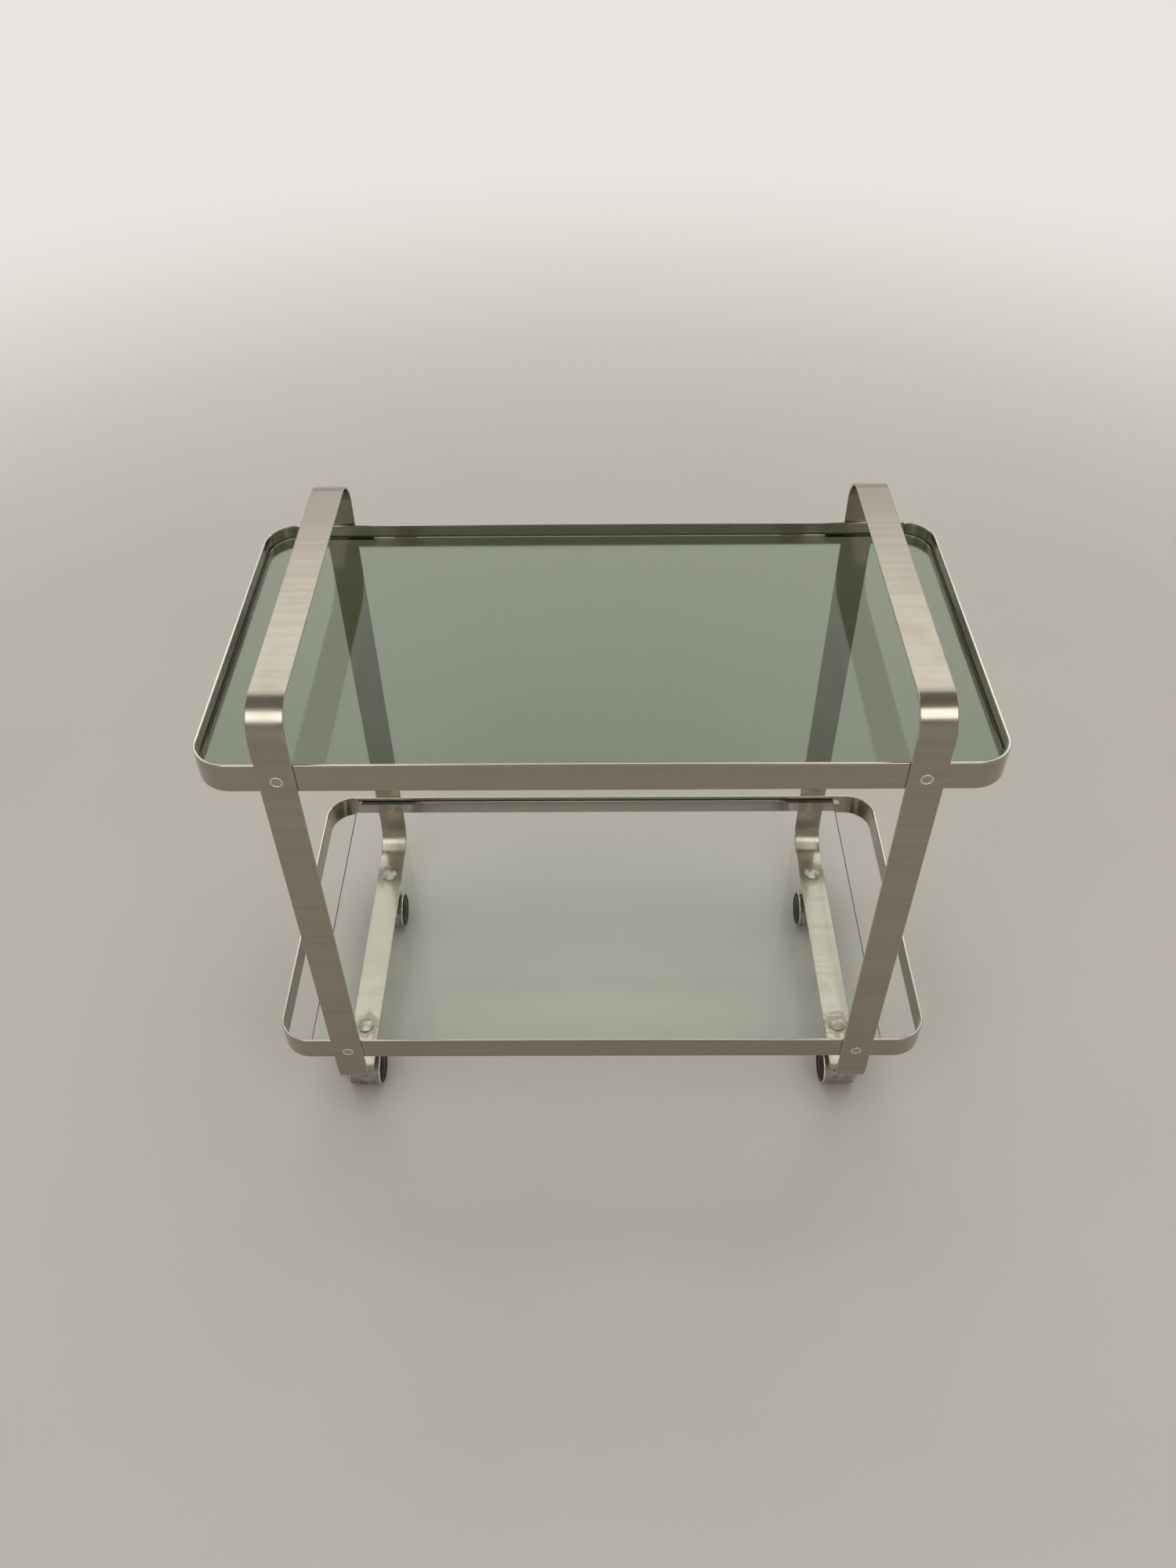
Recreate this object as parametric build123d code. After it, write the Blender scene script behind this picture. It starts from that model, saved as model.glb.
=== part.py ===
"""Bar cart: two flat-bar hoops, two rimmed glass trays and four twin-wheel castors.

Millimetres. X runs along the cart, +Y to the rear, +Z up. The origin is on the floor under the middle.
"""
import os
from math import sqrt

from build123d import *

# Overall sizes
tray_length = 764.0  # outside length of both rims
cart_depth = 412.0  # over the front and rear legs of a hoop
hoop_margin = 28.5  # start of a rim's corner to the hoop beside it
castor_height = 61.0  # floor to the underside of a hoop
lower_tray_gap = 58.0  # bottom run of a hoop to the lower rim
tray_spacing = 445.0  # top of one rim to the top of the other
handle_rise = 63.0  # top rim to the top of a hoop

# Flat bar
band_width = 35.0
band_thickness = 3.0
bend_radius = 35.0  # outside of a hoop's corners
rim_height = 33.0
rim_thickness = 3.0
rim_corner_radius = 36.0  # outside
edge_round = 1.2  # on every long edge of the bar

# Glass
top_glass_thickness = 6.0
top_glass_recess = 14.0  # below the top of its rim
lower_glass_thickness = 6.0
lower_glass_recess = 5.5
lower_glass_left_margin = 3.0  # start of the rim's left corners to the sheet
lower_glass_right_margin = 17.0  # more on the right, because the sheet lies loose
glass_clearance = 1.0  # to the rim
glass_arris = 0.8
rest_overhang = 20.5  # beyond both edges of the leg
rest_section = 4.0

# Flush rivets through leg and rim
rivet_drop = 18.0  # below the top of the rim
rivet_head_radius = 5.5
rivet_shank_radius = 3.3
rivet_tail_radius = 4.5
rivet_edge_round = 0.7  # on the head and on the mouth of its hole, which makes a groove round the head
rivet_dish_radius = 4.6
rivet_dish_depth = 0.4

# Castor stem
front_stem_inset = 85.0  # outer face of the front leg to the stem behind it
rear_stem_inset = 73.0  # outer face of the rear leg to the stem before it
stem_radius = 5.0
stem_head_radius = 10.0
stem_head_height = 5.0
stem_head_edge = 1.5  # straight side under the dome
stem_head_round = 1.0  # between that side and the dome
stem_tail = 4.5  # below the socket
stem_end_chamfer = 0.8
washer_radius = 9.0
washer_thickness = 2.5
clip_radius = 7.0
clip_thickness = 1.2
clip_groove_depth = 0.8
clip_opening = 3.0

# Castor hood
hood_width = 40.0
hood_wall = 2.0
hood_edge_round = 0.8  # on the guard's outer edges
hood_lip_drop = 7.0  # lip below the axle
web_thickness = 9.0
web_hub_radius = 8.0
socket_radius = 7.5
socket_chamfer = 1.0
neck_drop = 4.0  # top of the neck below the top of the socket

# Castor wheels
wheel_radius = 22.0
wheel_proud = 2.0  # face outside the hood
tread_round = 2.0  # on the outer edge
wheel_dish_radius = 17.5
wheel_dish_depth = 1.2
wheel_boss_radius = 7.0
wheel_face = 2.5  # closed face outside the blind bore
axle_radius = 3.0
axle_end_chamfer = 0.5
snap_depth = 0.35  # groove near each end of the axle
snap_width = 2.0
snap_bead_width = 1.2

# Fits
seat_clearance = 0.02  # riveted and pressed pieces, on the radius
running_clearance = 0.05  # stem in socket and axle in wheel, on the radius
swivel_gap = 0.3  # washer to socket, socket to clip
side_gap = 0.5  # wheel to web
tread_gap = 1.0  # tread to the inside of the hood
socket_gap = 1.0  # tread to the stem socket
snap_clearance = 0.15  # bead in the axle's groove, on the radius
cut_margin = 1.0  # a cutter runs this far past the faces it opens

# Levels and places that follow from the sizes above
lower_rim_top = castor_height + band_thickness + lower_tray_gap + rim_height
top_rim_top = lower_rim_top + tray_spacing
hoop_top = top_rim_top + handle_rise
corner_x = tray_length / 2 - rim_corner_radius
hoop_spacing = 2 * (corner_x - hoop_margin) - band_width
hoop_x = hoop_spacing / 2
leg_face = cart_depth / 2
stem_places = {"front": front_stem_inset - leg_face, "rear": leg_face - rear_stem_inset}
rim_depth = cart_depth - 2 * band_thickness
rim_inside_depth = rim_depth - 2 * rim_thickness
rivet_length = band_thickness + rim_thickness
rest_length = band_width + 2 * rest_overhang
lower_glass_length = 2 * corner_x - lower_glass_left_margin - lower_glass_right_margin
lower_glass_shift = (lower_glass_left_margin - lower_glass_right_margin) / 2

hood_radius = wheel_radius + tread_gap + hood_wall
wheel_start = web_thickness / 2 + side_gap
wheel_end = hood_width / 2 + wheel_proud
bore_end = wheel_end - wheel_face
axle_half_length = bore_end - swivel_gap
snap_at = (wheel_start + bore_end) / 2
trail = wheel_radius + socket_gap + sqrt(socket_radius**2 - wheel_start**2)
lip_level = wheel_radius - hood_lip_drop
socket_top = castor_height - washer_thickness - swivel_gap
stem_end = lip_level - stem_tail
clip_top = lip_level - swivel_gap

CASTOR_SIDES = {"left": -1, "right": 1}


def turned(outline):
    """A solid of revolution about Z from a closed outline of radius and height."""
    return revolve(Plane.XZ * make_face(outline), Axis.Z)


def rivet_form(clearance, mouth):
    """A form along +Z from the outer face of a leg to the inner face of a rim, both ends countersunk.

    The mouth is its radius at the leg's face. A rounded edge runs from there into the head.
    """
    head = rivet_head_radius + clearance
    shank = rivet_shank_radius + clearance
    tail = rivet_tail_radius + clearance
    return turned(
        [
            Line((0, 0), (mouth, 0)),
            TangentArc((mouth, 0), (head, rivet_edge_round), tangent=(head - mouth, 0)),
            Polyline(
                (head, rivet_edge_round),
                (shank, rivet_edge_round + head - shank),
                (shank, rivet_length - (tail - shank)),
                (tail, rivet_length),
                (0, rivet_length),
                (0, 0),
            ),
        ]
    )


def rivet_places(rim_top):
    """Where the rivets of one rim sit, each pointing from its leg's outer face to the middle of the cart."""
    level = rim_top - rivet_drop
    front = Plane((0, -leg_face, level), x_dir=(1, 0, 0), z_dir=(0, 1, 0))
    rear = Plane((0, leg_face, level), x_dir=(1, 0, 0), z_dir=(0, -1, 0))
    return [face * Pos(x, 0, 0) for face in (front, rear) for x in (-hoop_x, hoop_x)]


def rivets(rim_top):
    """The four rivets of one rim, flush with the legs, each with a shallow dish in its head."""
    ball_radius = (rivet_dish_radius**2 + rivet_dish_depth**2) / (2 * rivet_dish_depth)
    rivet = rivet_form(0, rivet_head_radius - rivet_edge_round)
    rivet -= Pos(0, 0, rivet_dish_depth - ball_radius) * Sphere(ball_radius)
    return [place * rivet for place in rivet_places(rim_top)]


def rivet_holes(rim_top):
    mouth = rivet_head_radius + seat_clearance + rivet_edge_round
    return [place * rivet_form(seat_clearance, mouth) for place in rivet_places(rim_top)]


def rounded_edges(ring, axis):
    """Rounds the four long edges of a ring of flat bar, which lie in its two end faces along the axis."""
    ends = ring.faces().filter_by(axis).sort_by(axis)
    edges = ends[0].edges() + ends[-1].edges()
    return fillet(edges, edge_round)


def hoop(side):
    """One closed band: two legs, the handle on top and the run that carries two castors."""
    height = hoop_top - castor_height
    middle = castor_height + height / 2
    inner_radius = bend_radius - band_thickness
    outline = RectangleRounded(cart_depth, height, bend_radius)
    outline -= RectangleRounded(cart_depth - 2 * band_thickness, height - 2 * band_thickness, inner_radius)
    band = extrude(Plane.YZ * outline, band_width / 2, both=True)
    band = Pos(side * hoop_x, 0, middle) * rounded_edges(band, Axis.X)
    band -= rivet_holes(top_rim_top) + rivet_holes(lower_rim_top)
    stem_hole = Cylinder(stem_radius + seat_clearance, band_thickness + 2 * cut_margin)
    for y in stem_places.values():
        band -= Pos(side * hoop_x, y, castor_height + band_thickness / 2) * stem_hole
    return band


def rim(rim_top):
    """Flat bar on edge, bent to a rounded rectangle that fits between the legs."""
    outline = RectangleRounded(tray_length, rim_depth, rim_corner_radius)
    inner_radius = rim_corner_radius - rim_thickness
    outline -= RectangleRounded(tray_length - 2 * rim_thickness, rim_inside_depth, inner_radius)
    band = rounded_edges(extrude(outline, rim_height), Axis.Z)
    return Pos(0, 0, rim_top - rim_height) * band - rivet_holes(rim_top)


def sheet(outline, thickness, top):
    """A sheet of glass with a polished arris round both faces."""
    glass = extrude(outline, thickness)
    faces = glass.faces().filter_by(Axis.Z)
    glass = chamfer(faces[0].edges() + faces[-1].edges(), glass_arris)
    return Pos(0, 0, top - thickness) * glass


def top_glass():
    length = tray_length - 2 * rim_thickness - 2 * glass_clearance
    corner = rim_corner_radius - rim_thickness - glass_clearance
    outline = RectangleRounded(length, rim_inside_depth - 2 * glass_clearance, corner)
    return sheet(outline, top_glass_thickness, top_rim_top - top_glass_recess)


def lower_glass():
    """A plain rectangle between the rim's corners, which leaves both ends of the tray open."""
    outline = Rectangle(lower_glass_length, rim_inside_depth - 2 * glass_clearance)
    glass = sheet(outline, lower_glass_thickness, lower_rim_top - lower_glass_recess)
    return Pos(lower_glass_shift, 0, 0) * glass


def glass_rests(glass_underside):
    """Four strips on the inner faces of a rim, behind the legs, with the sheet lying on their tops."""
    strip = Box(rest_length, rest_section, rest_section, align=(Align.CENTER, Align.CENTER, Align.MAX))
    y = (rim_inside_depth - rest_section) / 2
    return [Pos(side * hoop_x, end * y, glass_underside) * strip for side in (-1, 1) for end in (-1, 1)]


def stem():
    """Domed head on the bottom run, shank through it and the socket, and a groove for the clip."""
    seat = castor_height + band_thickness
    groove = stem_radius - clip_groove_depth
    clip_bottom = clip_top - clip_thickness
    pin = turned(
        [
            Line((0, stem_end), (stem_radius - stem_end_chamfer, stem_end)),
            Polyline(
                (stem_radius - stem_end_chamfer, stem_end),
                (stem_radius, stem_end + stem_end_chamfer),
                (stem_radius, clip_bottom),
                (groove, clip_bottom),
                (groove, clip_top),
                (stem_radius, clip_top),
                (stem_radius, seat),
                (stem_head_radius, seat),
                (stem_head_radius, seat + stem_head_edge),
            ),
            dome_arc(seat),
            Line((0, seat + stem_head_height), (0, stem_end)),
        ]
    )
    rings = pin.edges().filter_by(lambda edge: edge.is_closed)
    head_edges = rings.group_by(SortBy.RADIUS)[-1]
    return fillet(head_edges.sort_by(Axis.Z)[-1], stem_head_round)


def dome_arc(seat):
    """The head's crown: an arc from its straight side to a level top on the axis."""
    rise = stem_head_height - stem_head_edge
    crown_radius = (stem_head_radius**2 + rise**2) / (2 * rise)
    half_way = stem_head_radius / 2
    drop = crown_radius - sqrt(crown_radius**2 - half_way**2)
    return ThreePointArc(
        (stem_head_radius, seat + stem_head_edge),
        (half_way, seat + stem_head_height - drop),
        (0, seat + stem_head_height),
    )


def washer():
    ring = Circle(washer_radius) - Circle(stem_radius + seat_clearance)
    return Pos(0, 0, castor_height - washer_thickness) * extrude(ring, washer_thickness)


def clip():
    """An open ring sprung into the stem's groove, under the socket."""
    ring = Circle(clip_radius) - Circle(stem_radius - clip_groove_depth + seat_clearance)
    ring -= Pos(clip_radius / 2, 0) * Rectangle(clip_radius, clip_opening)
    return Pos(0, 0, clip_top - clip_thickness) * extrude(ring, clip_thickness)


def hood():
    """Mudguard over both wheels, with a web between them and a socket for the stem behind."""
    axle_place = Pos(-trail, wheel_radius)
    below = Rectangle(2 * hood_radius, 2 * hood_radius, align=(Align.CENTER, Align.MAX))
    under_lip = Pos(-trail, lip_level) * below
    guard = axle_place * (Circle(hood_radius) - Circle(hood_radius - hood_wall)) - under_lip
    web = axle_place * Circle(hood_radius - hood_wall / 2) - under_lip
    web += axle_place * Circle(web_hub_radius)
    shell = extrude(Plane.YZ * guard, hood_width / 2, both=True)
    outer_edges = shell.edges().filter_by(GeomType.CIRCLE).group_by(SortBy.RADIUS)[-1]
    body = fillet(outer_edges, hood_edge_round)
    body += extrude(Plane.YZ * web, web_thickness / 2, both=True)
    body += extrude(Plane.YZ * neck(), web_thickness / 2, both=True)
    socket = Pos(0, 0, lip_level) * extrude(Circle(socket_radius), socket_top - lip_level)
    body += chamfer(socket.edges().sort_by(Axis.Z)[-1], socket_chamfer)
    body -= Cylinder(stem_radius + running_clearance, 2 * castor_height)
    body -= axle_line() * Cylinder(axle_radius + seat_clearance, web_thickness + 2 * cut_margin)
    return body


def neck():
    """The web's upper edge, sweeping from the crown of the guard up to the socket."""
    crown = (-trail, wheel_radius + hood_radius - hood_wall / 2)
    shoulder = (-socket_radius, socket_top - neck_drop)
    return make_face(
        [
            TangentArc(crown, shoulder, tangent=(1, 0)),
            Polyline(shoulder, (0, shoulder[1]), (0, lip_level), (-trail, lip_level), crown),
        ]
    )


def axle_line():
    """Places a piece that was turned about Z on the axle, with its Z along +X."""
    return Plane((0, -trail, wheel_radius), x_dir=(0, 0, 1), z_dir=(1, 0, 0)).location


def axle():
    """A plain pin through the web, with a snap groove near each end."""
    groove = Cylinder(axle_radius + cut_margin, snap_width) - Cylinder(axle_radius - snap_depth, snap_width)
    pin = Cylinder(axle_radius, 2 * axle_half_length)
    pin = chamfer(pin.edges().filter_by(GeomType.CIRCLE), axle_end_chamfer)
    for side in (-1, 1):
        pin -= Pos(0, 0, side * snap_at) * groove
    return axle_line() * pin


def wheel(side):
    """A wheel as wide as its side of the hood, with a snap bead in its blind bore and a dished, closed face."""
    bore = axle_radius + running_clearance
    bead = axle_radius - snap_depth + snap_clearance
    dish_floor = wheel_end - wheel_dish_depth
    outline = Polyline(
        (0, bore_end),
        (bore, bore_end),
        (bore, snap_at + snap_bead_width / 2),
        (bead, snap_at + snap_bead_width / 2),
        (bead, snap_at - snap_bead_width / 2),
        (bore, snap_at - snap_bead_width / 2),
        (bore, wheel_start),
        (wheel_radius, wheel_start),
        (wheel_radius, wheel_end),
        (wheel_dish_radius, wheel_end),
        (wheel_dish_radius - wheel_dish_depth, dish_floor),
        (wheel_boss_radius + wheel_dish_depth, dish_floor),
        (wheel_boss_radius, wheel_end),
        (0, wheel_end),
        close=True,
    )
    disc = turned(outline)
    tread_edges = disc.edges().filter_by(GeomType.CIRCLE).group_by(SortBy.RADIUS)[-1]
    disc = fillet(tread_edges.sort_by(Axis.Z)[-1], tread_round)
    if side < 0:
        disc = mirror(disc, Plane.XY)
    return axle_line() * disc


def castor(side, stem_y):
    """The pieces of one castor at its place, with the wheels trailing to the front."""
    place = Pos(side * hoop_x, stem_y, 0)
    pieces = {
        "stem": stem(),
        "washer": washer(),
        "clip": clip(),
        "hood": hood(),
        "axle": axle(),
        "inner_wheel": wheel(-side),
        "outer_wheel": wheel(side),
    }
    return {name: place * piece for name, piece in pieces.items()}


def cart():
    """Every piece of the cart by the name of its node."""
    nodes = {
        "left_hoop": hoop(-1),
        "right_hoop": hoop(1),
        "top_rim": rim(top_rim_top),
        "lower_rim": rim(lower_rim_top),
        "top_glass": top_glass(),
        "lower_glass": lower_glass(),
        "top_glass_rests": glass_rests(top_rim_top - top_glass_recess - top_glass_thickness),
        "lower_glass_rests": glass_rests(lower_rim_top - lower_glass_recess - lower_glass_thickness),
        "top_rim_rivets": rivets(top_rim_top),
        "lower_rim_rivets": rivets(lower_rim_top),
    }
    for end_name, stem_y in stem_places.items():
        for side_name, side in CASTOR_SIDES.items():
            for piece_name, piece in castor(side, stem_y).items():
                nodes[f"{end_name}_{side_name}_{piece_name}"] = piece
    return nodes


os.makedirs("parts", exist_ok=True)
for node, shape in cart().items():
    solid = Compound(children=shape) if isinstance(shape, list) else shape
    export_step(solid, f"parts/{node}.step")
    print(node)
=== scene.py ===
# %% [markdown]
# # A bar cart in brushed steel and glass
# The cart stands on four castors. Two hoops of flat steel bar are its legs and handles at once, two
# rims of the same bar hold its trays, and each tray has a sheet of glass: smoked above, clear below.
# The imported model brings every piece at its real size, so this script only gives the pieces their
# finishes and lights them.

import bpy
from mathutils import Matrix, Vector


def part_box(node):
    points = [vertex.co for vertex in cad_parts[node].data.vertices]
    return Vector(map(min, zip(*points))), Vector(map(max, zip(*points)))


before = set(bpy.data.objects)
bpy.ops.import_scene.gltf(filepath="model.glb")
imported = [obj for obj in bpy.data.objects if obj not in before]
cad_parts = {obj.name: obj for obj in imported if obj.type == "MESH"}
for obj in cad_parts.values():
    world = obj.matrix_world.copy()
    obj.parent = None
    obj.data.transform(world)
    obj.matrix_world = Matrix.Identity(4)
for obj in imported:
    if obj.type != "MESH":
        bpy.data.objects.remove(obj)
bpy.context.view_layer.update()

# %% [markdown]
# ## Colours and scales
# A colour is easiest to read as the hex value that a paint program shows, but Blender's shaders count
# light, so one function turns the first into the second. Sizes are written in millimetres, and a
# pattern's scale is how many of its features fit in a metre.

# %% Helpers for colours and scales
MM = 0.001


def linear(hex_colour):
    """An sRGB hex value as linear red, green, blue and alpha."""
    parts = [int(hex_colour[i:i + 2], 16) / 255 for i in (1, 3, 5)]
    return [p / 12.92 if p <= 0.04045 else ((p + 0.055) / 1.055) ** 2.4 for p in parts] + [1.0]


def per_metre(size_mm):
    return 1 / (size_mm * MM)


print("a grey written 808080 returns", round(linear("#808080")[0], 3), "of the light")

# %% [markdown]
# ## Nodes and materials
# A material is a small tree of nodes. One function adds a node, sets it and links it. It takes sockets
# by name or by number, because some nodes have two sockets of one name. Another function gives a
# finished material to the pieces, which it finds by how their names end.

# %% Helpers for nodes and materials
import bpy


def add(tree, kind, settings, inputs):
    """Adds a node: settings are its own properties, inputs are values or the sockets that feed it."""
    node = tree.nodes.new("ShaderNode" + kind)
    for name, value in settings.items():
        setattr(node, name, value)
    for name, value in inputs.items():
        if isinstance(value, bpy.types.NodeSocket):
            tree.links.new(value, node.inputs[name])
        else:
            node.inputs[name].default_value = value
    return node


def blank(name):
    """A material with nothing in it yet, and its node tree."""
    material = bpy.data.materials.new(name)
    material.use_nodes = True
    material.node_tree.nodes.clear()
    return material, material.node_tree


def dress(material, *endings):
    """Gives the material to every piece whose name ends in one of these words."""
    pieces = [piece for name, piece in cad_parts.items() if name.endswith(endings)]
    for piece in pieces:
        for slot in piece.material_slots:
            slot.material = material
    print(material.name, "on", len(pieces), "pieces")


# %% [markdown]
# ## The camera
# The photograph looks down on the cart from a metre in front of its middle and 1.36 m above the floor.
# The camera's place and tilt come from a fit of the cart's own corners. Its focal length was found in
# pixels of a 1500 by 2000 picture, and Blender wants millimetres on a 36 mm sensor's longer side.

# %% Camera at the photograph's place
from math import cos, pi, radians, sin

from mathutils import Matrix, Vector

PICTURE_HEIGHT = 2000
FOCAL_PIXELS = 1534.565
SENSOR_MM = 36.0
camera_place = Vector((-0.002157, -1.000875, 1.355443))
pitch_down = radians(44.35)
yaw = radians(-0.705)
roll = radians(-0.739)

forward = Vector((sin(yaw) * cos(pitch_down), cos(yaw) * cos(pitch_down), -sin(pitch_down)))
level_right = Vector((cos(yaw), -sin(yaw), 0))
level_up = level_right.cross(forward)
right = cos(roll) * level_right + sin(roll) * level_up
up = cos(roll) * level_up - sin(roll) * level_right

camera_data = bpy.data.cameras.new("camera")
camera_data.sensor_width = SENSOR_MM
camera_data.lens = FOCAL_PIXELS / PICTURE_HEIGHT * SENSOR_MM
camera = bpy.data.objects.new("camera", camera_data)
camera.matrix_world = Matrix((right, up, -forward)).transposed().to_4x4()
camera.location = camera_place
bpy.context.scene.collection.objects.link(camera)
bpy.context.scene.camera = camera
print("lens", round(camera_data.lens, 2), "mm")

# %% [markdown]
# ## Patterns in metal
# Ground lines, scratches, stains and dents are all noise, drawn out one way or not at all. A second
# helper tells the broad faces of a bar from its narrow sides by the way the surface faces.

# %% Helpers for patterns
NOISE_SPAN = (0.3, 0.7)


def streaks(tree, where, sizes_mm, detail):
    """Noise drawn out along the axis with the largest size. Most of it lies within the noise span."""
    scale = [per_metre(size) for size in sizes_mm]
    place = add(tree, "Mapping", {}, {"Vector": where, "Scale": scale})
    noise = add(tree, "TexNoise", {}, {"Vector": place.outputs[0], "Scale": 1.0, "Detail": detail})
    return noise.outputs["Fac"]


def faces_along(tree, axis):
    """1 where the surface faces along this axis of the cart, 0 where it faces across it."""
    normal = add(tree, "TexCoord", {}, {}).outputs["Normal"]
    parts = add(tree, "SeparateXYZ", {}, {"Vector": normal})
    return add(tree, "Math", {"operation": "ABSOLUTE"}, {0: parts.outputs[axis]}).outputs[0]


# %% [markdown]
# ## Brushed stainless steel
# Hoops and rims are stainless flat bar that was ground on a belt. The belt leaves lines a tenth of a
# millimetre apart, which smear a reflection across the lines and leave it fairly sharp along them. A
# picture of such lines would need every bar unwrapped. Noise in the cart's own coordinates needs no
# unwrapping and has no seams: it is long one way and short the other, six times as coarse as real
# lines, because a pixel is about a millimetre here. A wider noise gives the belt's passes, and the
# peaks of a short one are scratches.

# %% Tones of belt-ground bar
STEEL_DARK = "#9D9689"
STEEL_LIGHT = "#A7A093"
# Bare steel for scratches, and a painted highlight on rivet lips, rivet rims and hood edges.
BARE_STEEL_AND_HIGHLIGHT = "#F4F0E6"
BELT_LINE_MM = 0.6
BELT_LINE_LENGTH_MM = 900.0
BELT_PASS_MM = 9.0
LINE_SHARE = 0.3
SHADE_RANGE = (0.4, 0.9)
SCRATCH_MM = 0.7
SCRATCH_LENGTH_MM = 12.0
SCRATCH_PEAKS = (0.78, 0.86)
SCRATCH_STRENGTH = 0.2


def drawn_lines(tree, where, long_axes, width_mm, length_mm, detail):
    """Noise that is this wide across the belt lines and this long along them."""
    return streaks(tree, where, [length_mm if axis in long_axes else width_mm for axis in "XYZ"], detail)


def belt_tones(tree, where, long_axes):
    """The belt's lines, and the colour of bar whose lines are long along these axes."""
    lines = drawn_lines(tree, where, long_axes, BELT_LINE_MM, BELT_LINE_LENGTH_MM, detail=3.0)
    passes = drawn_lines(tree, where, long_axes, BELT_PASS_MM, BELT_LINE_LENGTH_MM, detail=2.0)
    shade = add(tree, "Math", {"operation": "MULTIPLY_ADD"}, {0: lines, 1: LINE_SHARE, 2: passes})
    ground = add(tree, "MapRange", {}, {
        "Value": shade.outputs[0], "From Min": SHADE_RANGE[0], "From Max": SHADE_RANGE[1]})
    colour = add(tree, "Mix", {"data_type": "RGBA"}, {
        0: ground.outputs[0], 6: linear(STEEL_DARK), 7: linear(STEEL_LIGHT)})
    scratch = add(tree, "MapRange", {}, {
        "Value": drawn_lines(tree, where, long_axes, SCRATCH_MM, SCRATCH_LENGTH_MM, detail=0.0),
        "From Min": SCRATCH_PEAKS[0], "From Max": SCRATCH_PEAKS[1], "To Max": SCRATCH_STRENGTH})
    colour = add(tree, "Mix", {"data_type": "RGBA"}, {
        0: scratch.outputs[0], 6: colour.outputs[2], 7: linear(BARE_STEEL_AND_HIGHLIGHT)})
    return lines, colour.outputs[2]


print("belt lines are drawn", round(per_metre(BELT_LINE_MM)), "to the metre")

# %% [markdown]
# ## Gloss of ground bar
# Some belt lines are a little duller than others, and hands leave cloudy dull marks. The bar's narrow
# sides were dressed lengthwise with a finer belt, so they are plainer, and they are painted lighter: a
# painted highlight, the light that a narrow edge catches.

# %% Gloss, and narrow sides with a painted highlight
SIDE_HIGHLIGHT_TONE = "#C6C0B3"
SIDE_ROUGHNESS = 0.24
SIDE_START = (0.4, 0.8)
HAND_MARK_MM = 55.0
HAND_MARK_RANGE = (0.5, 0.72)
HAND_MARK_DULLNESS = 0.07
NO_RELIEF = 0.5


def belt_ground(tree, where, long_axes, side_axis, rough_range):
    """Colour, roughness and relief of flat bar whose narrow sides face along the side axis."""
    lines, colour = belt_tones(tree, where, long_axes)
    line_rough = add(tree, "MapRange", {}, {
        "Value": lines, "From Min": NOISE_SPAN[0], "From Max": NOISE_SPAN[1],
        "To Min": rough_range[0], "To Max": rough_range[1]})
    dull = add(tree, "MapRange", {}, {
        "Value": streaks(tree, where, [HAND_MARK_MM] * 3, detail=5.0),
        "From Min": HAND_MARK_RANGE[0], "From Max": HAND_MARK_RANGE[1], "To Max": HAND_MARK_DULLNESS})
    rough = add(tree, "Math", {"operation": "ADD"}, {0: line_rough.outputs[0], 1: dull.outputs[0]})
    is_side = add(tree, "MapRange", {}, {
        "Value": faces_along(tree, side_axis),
        "From Min": SIDE_START[0], "From Max": SIDE_START[1]}).outputs[0]
    # The narrow sides are painted lighter, a painted highlight along every edge of the bar.
    colour = add(tree, "Mix", {"data_type": "RGBA"}, {0: is_side, 6: colour, 7: linear(SIDE_HIGHLIGHT_TONE)})
    rough = add(tree, "Mix", {"data_type": "FLOAT"}, {0: is_side, 2: rough.outputs[0], 3: SIDE_ROUGHNESS})
    lines = add(tree, "Mix", {"data_type": "FLOAT"}, {0: is_side, 2: lines, 3: NO_RELIEF})
    return colour.outputs[2], rough.outputs[0], lines.outputs[0]


print("narrow sides have a roughness of", SIDE_ROUGHNESS)

# %% [markdown]
# ## Metal with a grain
# Highlights on ground metal stretch across its lines. An anisotropic shader does that from a tangent
# that runs round one of the cart's axes, so every bend turns its highlight by itself. The lines also
# stand a few hundredths of a millimetre proud.

# %% The brushed metal
LINE_HEIGHT_MM = 0.03
LINE_STRENGTH = 0.1


def brushed_metal(tree, colour, rough, lines, tangent_axis, turn, stretch):
    """The metal itself: its highlights stretch along the tangent, or across it after a quarter turn."""
    relief = add(tree, "Bump", {}, {
        "Height": lines, "Strength": LINE_STRENGTH, "Distance": LINE_HEIGHT_MM * MM})
    tangent = add(tree, "Tangent", {"direction_type": "RADIAL", "axis": tangent_axis}, {})
    steel = add(tree, "BsdfPrincipled", {}, {
        "Base Color": colour,
        "Metallic": 1.0,
        "Roughness": rough,
        "Anisotropic": stretch,
        "Anisotropic Rotation": turn,
        "Tangent": tangent.outputs[0],
        "Normal": relief.outputs[0],
    })
    add(tree, "OutputMaterial", {}, {"Surface": steel.outputs[0]})


print("belt lines stand", LINE_HEIGHT_MM, "mm proud")

# %% [markdown]
# ## Where rivets and stems are
# The hoops' finish changes near the rivets and near the castors' stems, and both lie alike about a
# middle. Their places are measured on the pieces themselves. Coordinates taken from the middle, without
# their sign, then serve all of them at once.

# %% Distances from rivets and stems
def middle_of(node):
    lowest, highest = [Vector(corner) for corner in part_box(node)]
    return (lowest + highest) / 2


stems = [middle_of(node) for node in ("front_left_stem", "rear_right_stem")]
rivet_rows = [middle_of(node) for node in ("lower_rim_rivets", "top_rim_rivets")]
stem_middle = (stems[0] + stems[1]) / 2
rivet_middle = (rivet_rows[0] + rivet_rows[1]) / 2
stem_offset = stems[1] - stem_middle
rivet_offset = Vector((stem_offset.x, 0, rivet_rows[1].z - rivet_middle.z))
print("stems", stem_offset.to_tuple(4), "from", stem_middle.to_tuple(4))
print("rivets", rivet_offset.to_tuple(4), "from", rivet_middle.to_tuple(4))


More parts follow.
